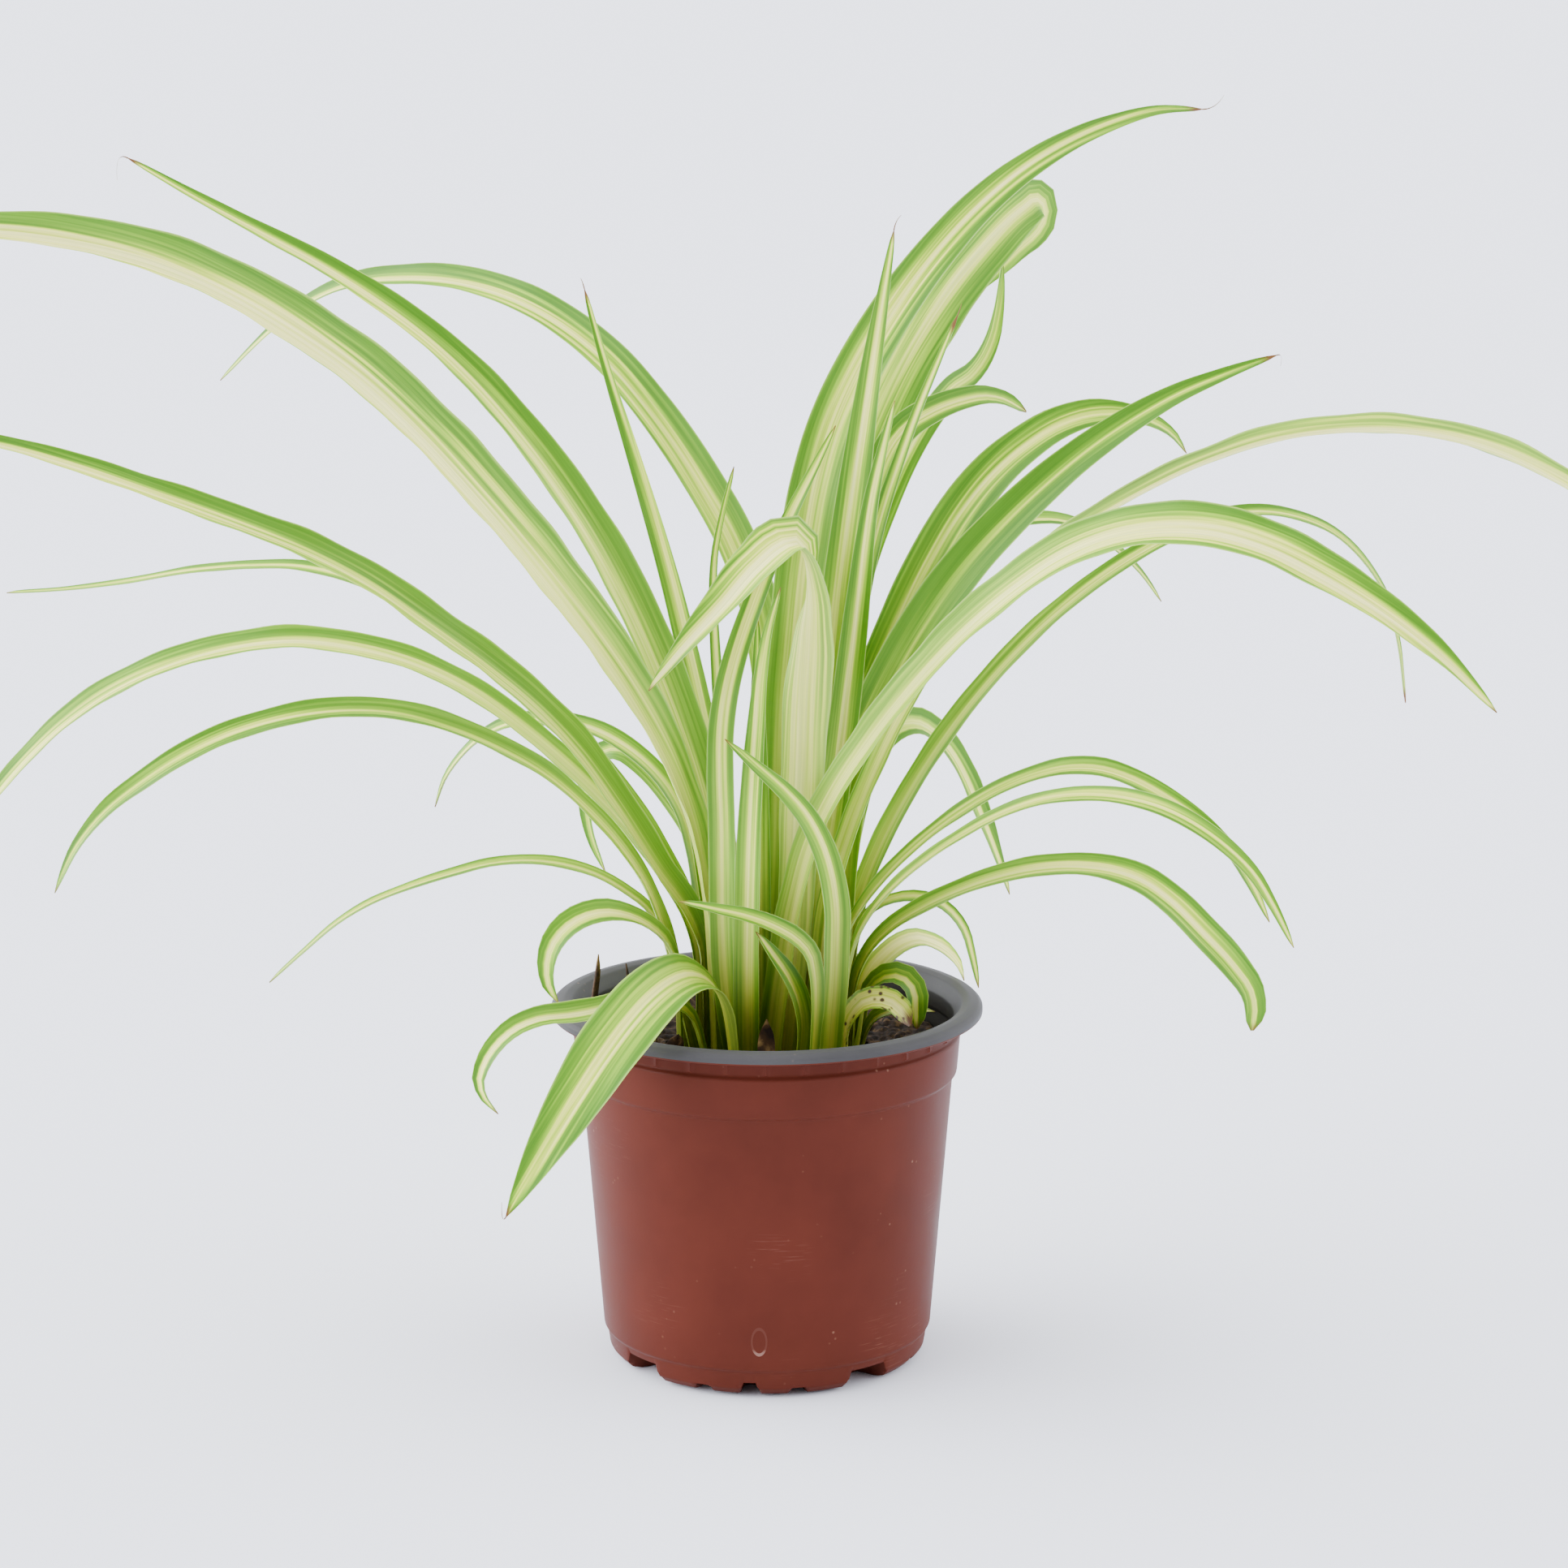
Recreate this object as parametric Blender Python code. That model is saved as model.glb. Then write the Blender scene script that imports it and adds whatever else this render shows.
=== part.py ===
"""Potted spider plant: a grass-like rosette of striped leaves in a 12 cm nursery pot.

Millimetres below, metres in the scene.  +Z is up, the pot stands on z = 0 with its axis on
the origin, and the front of the plant looks along -Y.
"""
import bpy
import bmesh
import math
import numpy as np
from mathutils import Vector

for thing in list(bpy.data.objects):
    bpy.data.objects.remove(thing, do_unlink=True)

MM = 0.001

# ---------------------------------------------------------------- driving dimensions, mm
POT_HEIGHT = 101.2          # table to the top of the rim
RIM_RADIUS = 60.0           # 12 cm pot
SHEET = 1.0                 # thickness of the thermoformed wall
FOOT_RADIUS = 43.6
SOIL_LEVEL = 87.0           # round the crown
GAP = 0.3                   # between pieces that touch
BLADE = 0.7                 # thickness of a leaf
BIG_NOTCHES = 4             # drainage notches in the foot
BIG_NOTCH_START = 39.0      # degrees from the front, towards the right
CROWN_HALF = (27.0, 25.0)   # the short rhizome that all leaves grow from
CROWN_DEPTH = 11.0

# Outer side of the pot, from the middle of the base to the lip: (radius, height).
POT_OUTSIDE = [
    (33.0, 0.0), (39.6, 0.0), (42.6, 0.7), (FOOT_RADIUS + 0.8, 2.6), (45.1, 7.4), (46.0, 8.4),
    (51.8, 80.4), (53.0, 81.4), (53.9, 92.2), (52.9, 93.1), (52.9, 96.6), (54.3, 99.3),
    (58.6, 99.4), (59.0, 97.9), (RIM_RADIUS, 97.9),
]
# Inner side, from the lip back down to the middle of the base.
POT_INSIDE = [
    (RIM_RADIUS, 99.7), (58.9, 100.8), (56.4, POT_HEIGHT), (54.2, 100.6), (51.9, 97.0),
    (51.9, 92.6), (52.8, 91.6), (51.9, 82.2), (50.7, 81.2), (45.0, 9.0), (44.1, 8.0),
    (43.4, 3.2), (41.8, 1.7), (39.2, 1.1), (33.0, 1.1),
]


def srgb(code):
    """Hex colour to linear RGBA."""
    values = []
    for at in (0, 2, 4):
        part = int(code[at:at + 2], 16) / 255.0
        values.append(part / 12.92 if part <= 0.04045 else ((part + 0.055) / 1.055) ** 2.4)
    return values + [1.0]


def material(name, code, roughness):
    made = bpy.data.materials.new(name)
    made.use_nodes = True
    shader = made.node_tree.nodes["Principled BSDF"]
    shader.inputs["Base Color"].default_value = srgb(code)
    shader.inputs["Roughness"].default_value = roughness
    shader.inputs["Metallic"].default_value = 0.0
    made.diffuse_color = srgb(code)
    return made


def add_object(name, points, faces, code, roughness, smooth=40.0):
    """One closed solid from points in millimetres."""
    mesh = bpy.data.meshes.new(name)
    mesh.from_pydata([(p[0] * MM, p[1] * MM, p[2] * MM) for p in points], [], faces)
    mesh.validate()
    mesh.update()
    mesh.shade_smooth()
    mesh.set_sharp_from_angle(angle=math.radians(smooth))
    made = bpy.data.objects.new(name, mesh)
    made.data.materials.append(material(name, code, roughness))
    bpy.context.scene.collection.objects.link(made)
    return made


def smoothstep(x):
    x = min(1.0, max(0.0, x))
    return x * x * (3.0 - 2.0 * x)


def wobble(x, y, seed=0.0):
    """Smooth repeatable unevenness between -1 and 1."""
    return (math.sin(0.31 * x + 1.7 * seed) * math.cos(0.27 * y - seed)
            + 0.6 * math.sin(0.53 * x - 0.41 * y + 2.3 * seed)
            + 0.4 * math.cos(0.83 * y + 0.37 * x + seed)) / 2.0


# ---------------------------------------------------------------- pot
def notches():
    """(middle, half width at the floor, half width at the top, height) round the foot, degrees."""
    found = []
    for turn in range(BIG_NOTCHES):
        middle = BIG_NOTCH_START + 90.0 * turn
        found.append((middle, 10.0, 7.5, 5.6))
        found.append((middle + 45.0, 4.2, 2.2, 4.4))
        found.append((middle + 45.0 - 17.5, 4.0, 2.4, 2.8))
        found.append((middle + 45.0 + 17.5, 4.0, 2.4, 2.8))
    return found


def foot_angles():
    """Columns of the pot: four at each notch and the places half-way between notches."""
    angles = []
    for middle, low, high, tall in notches():
        angles += [middle - low, middle - high, middle + high, middle + low]
    angles = sorted(a % 360.0 for a in angles)
    full = []
    for at, angle in enumerate(angles):
        full.append(angle)
        step = (angles[(at + 1) % len(angles)] - angle) % 360.0
        if step > 12.0:
            parts = math.ceil(step / 12.0)
            full += [(angle + step * k / parts) % 360.0 for k in range(1, parts)]
    return sorted(full)


def lift(angle):
    """How far the foot is notched up at this angle."""
    best = 0.0
    for middle, low, high, tall in notches():
        away = abs((angle - middle + 180.0) % 360.0 - 180.0)
        if away < low - 1e-6:
            best = max(best, tall * min(1.0, (low - away) / (low - high)))
    return best


def notched(radius, height, raised, inner):
    """Moves the points of the foot's edge up and in where a notch is."""
    top = raised + (SHEET + 0.1 if inner else 0.0)
    if height < top and 34.0 < radius < 46.0 and height < 7.2:
        depth = 4.2 * raised / 5.6
        if radius > 43.0:
            return radius, top
        if radius > 41.0:
            return radius - 0.3 * depth, top
        return radius - 0.3 * depth, height + 0.86 * (top - height)
    return radius, height


def build_pot():
    columns = foot_angles()
    outline = [(r, z, False) for r, z in POT_OUTSIDE] + [(r, z, True) for r, z in POT_INSIDE]
    points = []
    for angle in columns:
        raised = lift(angle)
        around = math.radians(angle)
        for radius, height, inner in outline:
            r, z = notched(radius, height, raised, inner)
            points.append((r * math.sin(around), -r * math.cos(around), z))
    count = len(outline)
    faces = []
    for at in range(len(columns)):
        after = (at + 1) % len(columns)
        for k in range(count - 1):
            a, b = at * count + k, after * count + k
            faces += [(a, b, b + 1), (a, b + 1, a + 1)]
    under = len(points)
    points.append((0.0, 0.0, 0.0))
    inside = len(points)
    points.append((0.0, 0.0, POT_INSIDE[-1][1]))
    for at in range(len(columns)):
        after = (at + 1) % len(columns)
        faces.append((under, after * count, at * count))
        faces.append((inside, at * count + count - 1, after * count + count - 1))
    return add_object("pot", points, faces, "9c5446", 0.42)


# ---------------------------------------------------------------- soil and crown
def soil_height(x, y):
    """Level round the crown, heaped up to the left and at the back."""
    away = smoothstep((math.hypot(x, y) - 31.0) / 14.0)
    heap = 3.2 - 2.6 * x / 50.0 + 0.8 * y / 50.0
    return SOIL_LEVEL + away * (heap + 1.1 * wobble(x, y, 1.0))


def crown_edge(angle, grow=0.0):
    lobes = 1.0 + 0.05 * math.cos(4.0 * angle)
    return ((CROWN_HALF[0] * lobes + grow) * math.cos(angle),
            (CROWN_HALF[1] * lobes + grow) * math.sin(angle))


def ring_solid(name, rings, code, roughness, smooth=40.0):
    """Closes a stack of equal rings; the first and last end in a middle point."""
    count = len(rings[0])
    points = [p for ring in rings for p in ring]
    faces = []
    for level in range(len(rings) - 1):
        for k in range(count):
            a, b = level * count + k, level * count + (k + 1) % count
            faces += [(a, b, b + count), (a, b + count, a + count)]
    for level, flip in ((0, True), (len(rings) - 1, False)):
        ring = rings[level]
        middle = len(points)
        points.append(tuple(sum(p[i] for p in ring) / count for i in range(3)))
        for k in range(count):
            a, b = level * count + k, level * count + (k + 1) % count
            faces.append((middle, b, a) if flip else (middle, a, b))
    return add_object(name, points, faces, code, roughness, smooth)


def build_soil():
    """Fills the pot, with a plain hole that the crown stands in."""
    columns = 36
    turns = [2.0 * math.pi * k / columns for k in range(columns)]

    def circle(radius, height):
        return [(radius * math.cos(t), radius * math.sin(t), height) for t in turns]

    rings = [circle(32.0, 1.1 + GAP), circle(33.5, 8.6), circle(44.0, 9.6)]
    rings += [circle(49.9, 80.6), circle(50.6, 82.2)]
    for radius in (51.1, 47.0, 42.0, 37.0, 32.5):
        ring = []
        for t in turns:
            x, y = radius * math.cos(t), radius * math.sin(t)
            ring.append((x, y, min(soil_height(x, y), 95.5) - (0.8 if radius > 51.0 else 0.0)))
        rings.append(ring)
    rings.append([(*crown_edge(t, GAP), SOIL_LEVEL) for t in turns])
    rings.append([(*crown_edge(t, GAP), SOIL_LEVEL - CROWN_DEPTH - GAP) for t in turns])
    return ring_solid("soil", rings, "3a2e26", 0.95, 30.0)


def build_crown():
    columns = 36
    turns = [2.0 * math.pi * k / columns for k in range(columns)]
    rings = []
    for grow, height in ((-6.0, -CROWN_DEPTH), (0.0, -CROWN_DEPTH * 0.6), (0.0, 0.0)):
        rings.append([(*crown_edge(t, grow), SOIL_LEVEL + height) for t in turns])
    return ring_solid("crown", rings, "b9b98a", 0.6)


# ---------------------------------------------------------------- leaves
def curve_through(points, steps=40):
    """Centripetal Catmull-Rom curve through (reach, height) points."""
    p = np.asarray(points, float)
    p = np.vstack([2.0 * p[0] - p[1], p, 2.0 * p[-1] - p[-2]])
    found = []
    for at in range(1, len(p) - 2):
        p0, p1, p2, p3 = p[at - 1:at + 3]
        t1 = np.linalg.norm(p1 - p0) ** 0.5
        t2 = t1 + np.linalg.norm(p2 - p1) ** 0.5
        t3 = t2 + np.linalg.norm(p3 - p2) ** 0.5
        for k in range(steps):
            t = t1 + (t2 - t1) * k / steps
            a1 = (t1 - t) / t1 * p0 + t / t1 * p1
            a2 = (t2 - t) / (t2 - t1) * p1 + (t - t1) / (t2 - t1) * p2
            a3 = (t3 - t) / (t3 - t2) * p2 + (t - t2) / (t3 - t2) * p3
            b1 = (t2 - t) / t2 * a1 + t / t2 * a2
            b2 = (t3 - t) / (t3 - t1) * a2 + (t - t1) / (t3 - t1) * a3
            found.append((t2 - t) / (t2 - t1) * b1 + (t - t1) / (t2 - t1) * b2)
    found.append(p[-2])
    return np.array(found)


def along(value, s):
    """A plain number, or the value at s of a list of (place, value)."""
    if isinstance(value, (int, float)):
        return float(value)
    return float(np.interp(s, [a for a, b in value], [b for a, b in value]))


def blade_width(s, wide, base, peak, tip, power):
    if s < peak:
        return base + (wide - base) * smoothstep(s / peak)
    return tip + (wide - tip) * (1.0 - ((s - peak) / (1.0 - peak)) ** power)


def leaf(name, root, toward, path, wide=12.0, base=8.0, peak=0.4, tip=1.2, power=1.9,
         fold=22.0, turn=0.0, sway=0.0, start=SOIL_LEVEL, code="8fb65a", roughness=0.45):
    """A channelled strap leaf.

    root is where it leaves the crown, toward the compass direction that it arches to in
    degrees from +X, path its (reach, height) points, fold the rise of both halves from the
    midrib, turn the twist about its own length, sway how far its tip bends sideways and
    start the level that it stands on.
    """
    heading = math.radians(toward)
    outward = np.array([math.cos(heading), math.sin(heading), 0.0])
    aside = np.array([-math.sin(heading), math.cos(heading), 0.0])
    foot = np.array([root[0], root[1], 0.0])
    flat = curve_through([(0.0, start + GAP)] + list(path))
    lengths = np.linalg.norm(np.diff(flat, axis=0), axis=1)
    run = np.concatenate([[0.0], np.cumsum(lengths)])
    total = run[-1]
    bend = np.unwrap(np.arctan2(*(np.diff(flat, axis=0).T[::-1])))
    turned = np.concatenate([[0.0, 0.0], np.cumsum(np.abs(np.diff(bend)))])
    stations = int(min(18, max(5, round(total / 17.0 + 1.5 * turned[-1] + 3.0))))
    weight = run / total + 0.17 * turned
    spine = foot + flat[:, :1] * outward + flat[:, 1:] * np.array([0.0, 0.0, 1.0])
    spine = spine + np.outer(sway * (run / total) ** 2, aside)
    ahead = np.gradient(spine, axis=0)
    ahead /= np.linalg.norm(ahead, axis=1)[:, None]
    order = np.arange(len(run))
    points = []
    for place in np.interp(np.linspace(0.0, weight[-1], stations), weight, order):
        middle = np.array([np.interp(place, order, spine[:, i]) for i in range(3)])
        tangent = np.array([np.interp(place, order, ahead[:, i]) for i in range(3)])
        tangent /= np.linalg.norm(tangent)
        s = float(np.interp(place, order, run)) / total
        upper = np.cross(-aside, tangent)
        upper /= np.linalg.norm(upper)
        twist = math.radians(along(turn, s))
        upper = upper * math.cos(twist) + np.cross(tangent, upper) * math.sin(twist)
        right = np.cross(tangent, upper)
        rise = math.radians(along(fold, s))
        half = blade_width(s, wide, base, peak, tip, power) / 2.0
        left_edge = middle + half * (upper * math.sin(rise) - right * math.cos(rise))
        right_edge = middle + half * (upper * math.sin(rise) + right * math.cos(rise))
        skin = upper * BLADE / 2.0
        ring = [left_edge + skin, middle + skin, right_edge + skin,
                right_edge - skin, middle - skin, left_edge - skin]
        if not points:
            ring = [np.array([p[0], p[1], middle[2]]) for p in ring]
        points += ring
    faces = [(5, 4, 0), (4, 1, 0), (4, 3, 1), (3, 2, 1)]
    for level in range(stations - 1):
        for k in range(6):
            a, b = level * 6 + k, level * 6 + (k + 1) % 6
            if k in (3, 4):
                faces += [(a, b, a + 6), (b, b + 6, a + 6)]
            else:
                faces += [(a, b, b + 6), (a, b + 6, a + 6)]
    end = (stations - 1) * 6
    faces += [(end, end + 4, end + 5), (end, end + 1, end + 4),
              (end + 1, end + 3, end + 4), (end + 1, end + 2, end + 3)]
    return add_object(name, [tuple(p) for p in points], faces, code, roughness, 70.0)


build_pot()
build_soil()
build_crown()

# Left side, from the front of the fan to its back.
leaf("leaf_front_fallen", (-9.5, -26), 228, [(1, 94), (3, 105), (8, 113), (17, 117), (28, 115),
     (42, 107), (65, 87), (86, 66)], wide=18.5, base=9, peak=0.5, fold=14, turn=-30)
leaf("leaf_left_over_rim", (-17, -22), 204, [(5, 103), (18, 108), (34, 106), (52, 105),
     (61, 99), (65, 90), (60, 81)], wide=8.5, base=6, peak=0.55, turn=-30)
leaf("leaf_left_giant", (-15, -11), 208, [(3, 136), (10, 163), (24, 190), (41, 214), (63, 241),
     (86, 266), (109, 286), (151, 310), (196, 320), (236, 319)], wide=22, base=10, peak=0.5,
     fold=26, turn=[(0, -38), (0.3, -55), (1, -50)])
leaf("leaf_left_short", (-24, -18), 198, [(3, 120), (11, 128), (22, 131), (31, 128), (36, 122),
     (37, 114), (34, 107)], wide=9, base=6, peak=0.65, turn=[(0, -20), (0.5, -25), (1, -60)],
     start=87.2)
leaf("leaf_left_low_arch", (-20.5, -10.2), 194, [(13, 136), (35, 164), (54, 177), (80, 187),
     (101, 188), (122, 184), (144, 174), (163, 159), (172, 143)], wide=8.5, base=7, peak=0.75, turn=-35)
leaf("leaf_left_long", (-17, -6), 191, [(2, 121), (13, 140), (40, 180), (79, 213), (100, 227),
     (142, 245), (184, 260), (224, 268)], wide=13, base=9, turn=-38)
leaf("leaf_left_thin_low", (-22.5, -4), 181, [(8, 124), (19, 134), (30, 139), (46, 141),
     (62, 138), (91, 127), (115, 107)], wide=5, base=5, turn=-25)
leaf("leaf_left_wide_arch", (-19, 1.5), 177, [(1, 118), (14, 142), (37, 167), (70, 191),
     (103, 200), (125, 199), (147, 193), (170, 181), (195, 157), (213, 130)], wide=10, base=8,
     peak=0.75, turn=-35)
leaf("leaf_left_high", (-8, 1.5), 172, [(3, 120), (8, 153), (22, 195), (42, 234), (73, 273),
     (101, 295), (146, 319), (168, 331)], wide=13, base=9, turn=-50, power=1.6)
leaf("leaf_left_thin_back", (-18, 8.5), 163, [(3, 121), (27, 161), (64, 192), (88, 207),
     (115, 215), (145, 214), (184, 207), (212, 204)], wide=6, base=6, turn=-30)
leaf("leaf_left_back_short", (-15, 13.7), 162, [(11, 153), (30, 170), (49, 174), (66, 170),
     (79, 158), (84, 147)], wide=7, base=6, peak=0.7, turn=-30)
leaf("leaf_left_back_hanging", (-9, 17), 150, [(10, 134), (24, 154), (38, 164), (46, 161),
     (49, 152), (48, 140), (43, 128)], wide=7, base=6, peak=0.7,
     turn=[(0, -30), (0.55, -30), (0.75, -70), (1, -80)])
leaf("leaf_back_left_arch", (-0.5, 20.5), 152, [(-3, 174), (5, 217), (26, 250), (54, 278), (88, 293),
     (128, 294), (152, 286), (183, 262)], wide=12, base=9,
     turn=[(0, -45), (0.4, -60), (1, -50)])
leaf("leaf_left_back_middle", (-13, 6.5), 166, [(4, 130), (10, 160), (18, 183), (30, 200)],
     wide=6, base=6, peak=0.3, turn=-50)

# Middle, from the front to the back.
leaf("leaf_left_upright", (-7, 5), 150, [(7, 153), (21, 210), (32, 243), (44, 276), (50, 295)],
     wide=7, base=7, peak=0.4, turn=-60, power=1.6)
leaf("leaf_middle_narrow", (-6, 12), 172, [(4, 129), (7, 175), (9, 215), (8, 227), (3, 248)],
     wide=5, base=6, peak=0.3, turn=-75, power=1.2)
leaf("leaf_front_upright", (-5, -21.5), 350, [(0, 124), (1, 158), (3, 187), (5, 205), (9, 220)],
     wide=8, base=8, peak=0.3, turn=80)
leaf("leaf_front_leaning", (-8, -15.5), 38, [(-4, 110), (-5, 150), (-4, 188), (12, 226),
     (34, 260)], wide=8, base=7, peak=0.4, turn=45)
leaf("leaf_middle_inner", (-2.5, -4), 90, [(1, 130), (3, 170), (6, 208)],
     wide=8, base=8, peak=0.3, turn=0)
leaf("leaf_front_folded", (4, -11), 190, [(-3, 122), (-4, 156), (-5, 190), (-6, 224),
     (-3, 231), (4, 228), (20, 212), (30, 202), (38, 193)], wide=18, base=9, peak=0.72, power=1.3,
     turn=[(0, 75), (0.55, 45), (0.75, -35), (1, -40)], sway=12)
leaf("leaf_tallest_upright", (4.5, -2.5), 8, [(7, 125), (11, 160), (16, 217), (23, 270), (30, 313)],
     wide=11.5, base=9, peak=0.5, turn=80, power=1.7)
leaf("leaf_upright_pointed", (8.5, -5.5), 0, [(5, 123), (11, 166), (15, 200), (20, 242), (26, 268)],
     wide=9, base=8, peak=0.5, turn=80, power=1.6)
leaf("leaf_right_thin_upright", (9.8, 3.9), 3, [(2, 113), (9, 166), (19, 226), (29, 258),
     (42, 290)], wide=7, base=7, turn=70, power=1.4)
leaf("leaf_right_big_arch", (3, 7), 22, [(2, 129), (5, 198), (16, 258), (43, 301), (74, 328),
     (109, 342), (128, 343)], wide=16, base=9,
     turn=[(0, 50), (0.4, 65), (1, 60)])
leaf("leaf_back_curled", (6, 12.5), 39, [(1, 128), (8, 184), (33, 251), (66, 290), (98, 312),
     (107, 316), (111, 312), (108, 306), (101, 301), (93, 294), (85, 287)], wide=18, base=9,
     peak=0.6, power=2.4, turn=[(0, 60), (0.5, 75), (0.8, 75), (1, 70)], sway=24)
leaf("leaf_right_small_arch", (12.8, 8.9), 27, [(1, 118), (9, 197), (25, 254), (41, 263),
     (56, 265), (67, 260)], wide=9.5, base=7, peak=0.75, tip=3,
     turn=[(0, 40), (0.6, 45), (1, 65)])
leaf("leaf_back_wavy", (9.5, 16.5), 48, [(3, 128), (17, 196), (41, 242), (62, 263), (75, 269),
     (83, 279), (87, 299)], wide=8, base=7, peak=0.75, turn=[(0, 50), (0.6, 55), (1, 75)])

# Right side, from the front to the back.
leaf("leaf_right_front_big", (1, -13.5), 341, [(4, 115), (10, 144), (19, 164), (53, 208),
     (90, 235), (123, 239), (155, 227), (181, 210), (196, 196)], wide=15, base=9,
     peak=0.7, turn=[(0, 75), (0.3, 50), (1, 42)])
leaf("leaf_right_low_thick", (21, -4), 350, [(7, 115), (23, 129), (56, 141), (81, 139),
     (103, 121), (113, 108), (113, 98)], wide=9.5, base=6, peak=0.8, tip=5,
     turn=[(0, 30), (0.55, 35), (0.8, 65), (1, 75)])
leaf("leaf_right_low_front", (20.5, -13), 335, [(5, 122), (22, 143), (59, 165), (91, 166),
     (116, 152), (129, 132)], wide=6, base=5, peak=0.7, turn=[(0, 30), (0.6, 35), (1, 55)])
leaf("leaf_right_low_middle", (18.5, -8), 345, [(2, 117), (18, 142), (52, 167), (75, 171),
     (107, 153), (120, 132)], wide=7, base=5, peak=0.65, turn=[(0, 30), (0.6, 35), (1, 55)])
leaf("leaf_right_far", (14.5, -11), 352, [(3, 132), (28, 193), (61, 229), (108, 256), (140, 263),
     (172, 260), (201, 247), (225, 229)], wide=11, base=7,
     peak=0.85, power=1.5, turn=[(0, 60), (0.3, 45), (0.5, -30), (1, -42)])
leaf("leaf_right_plain", (15.5, 0.3), 3, [(1, 127), (8, 166), (32, 213), (65, 248), (95, 268),
     (123, 279)], wide=13.5, base=8, peak=0.5, turn=[(0, 60), (0.4, 72), (1, 65)])
leaf("leaf_right_wide_arch", (18.4, 4.9), 12, [(6, 165), (19, 204), (42, 243), (66, 260),
     (84, 261), (95, 256), (100, 250)], wide=14.5, base=9,
     peak=0.6, turn=[(0, 50), (0.4, 66), (1, 60)])
leaf("leaf_right_long_narrow", (20, 6.5), 12, [(7, 130), (29, 171), (59, 204), (91, 225),
     (117, 233), (141, 227), (158, 208), (165, 177)], wide=7, base=7, peak=0.3, turn=40)
leaf("leaf_right_back_droop", (19, 14), 38, [(5, 142), (15, 168), (28, 173), (42, 163),
     (58, 134), (65, 118)], wide=9.5, base=7, peak=0.65,
     turn=[(0, 30), (0.45, 35), (0.75, 75), (1, 80)])
leaf("leaf_right_back_thin", (15, 21), 22, [(6, 160), (22, 201), (48, 225), (75, 228),
     (96, 215), (106, 203)], wide=6.5, base=6, peak=0.55, turn=[(0, 30), (0.6, 35), (1, 60)])
leaf("leaf_right_hoop", (23.8, -0.2), 0, [(3, 123), (11, 129), (22, 129), (30, 122), (35, 104)],
     wide=4.2, base=4, peak=0.6, turn=[(0, 20), (0.5, 30), (1, 70)])
leaf("leaf_right_pale_hoop", (25, 9), 40, [(4, 103), (13, 110), (22, 112), (30, 109),
     (37, 104), (41, 97)], wide=7.5, base=6, peak=0.6, turn=[(0, 20), (0.5, 30), (1, 70)])
leaf("leaf_right_short_folded", (25, -6), 345, [(4, 106), (11, 110), (16, 107), (17, 95)],
     wide=7.5, base=6, peak=0.6, tip=4, turn=[(0, 10), (0.5, 35), (1, 75)])
leaf("leaf_front_left_curved", (16.5, -24.5), 190, [(-2, 120), (-1, 140), (6, 158), (28, 180)],
     wide=8.5, base=7, turn=-75)
leaf("leaf_front_left_bent", (12, -29.6), 190, [(-1, 112), (1, 122), (12, 130), (36, 137)],
     wide=6.5, base=4, turn=-50, start=87.2)
leaf("leaf_front_small", (8, -28), 205, [(-2, 100), (1, 112), (12, 128)],
     wide=7, base=5, turn=-70)
leaf("leaf_chewed_stub", (22.3, -19.6), 352, [(0, 98), (5, 105), (12, 105), (17, 99)],
     wide=9, base=6, tip=6.5, turn=[(0, 20), (0.5, 35), (1, 45)])
leaf("leaf_right_lying", (27, 3), 352, [(3, 94), (10, 97), (20, 97)],
     wide=7, base=5, turn=20)

# Dried scraps of old leaves.
leaf("dried_leaf_front", (0, -27), 100, [(1, 95), (0, 102)], wide=5, base=4, tip=2, fold=12,
     code="3b3128", roughness=0.8)
leaf("dried_leaf_left", (-25, -24), 285, [(1, 92), (2, 95), (4, 98)], wide=6, base=4, tip=2,
     start=88.6, fold=30, code="2f2822", roughness=0.8)
leaf("dried_stub_left", (-30.5, -19.5), 325, [(1, 104), (3, 111), (7, 115)], wide=5, base=4, tip=4,
     start=89.1, turn=60, code="b8a77c", roughness=0.7)
leaf("dried_scrap_edge", (-47.8, 2), 200, [(1, 99), (0, 106), (-1, 113)], wide=4, base=2.5, tip=1.5,
     start=92.6, turn=-40, code="4a3a2e", roughness=0.8)
leaf("dried_spike", (-38, -4), 200, [(0, 100), (1, 112)], wide=2.4, base=2, tip=1,
     start=90.0, turn=-40, code="c9bf95", roughness=0.7)
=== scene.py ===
import math
from itertools import permutations

import bpy
import numpy as np
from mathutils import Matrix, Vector
from mathutils.bvhtree import BVHTree


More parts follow.
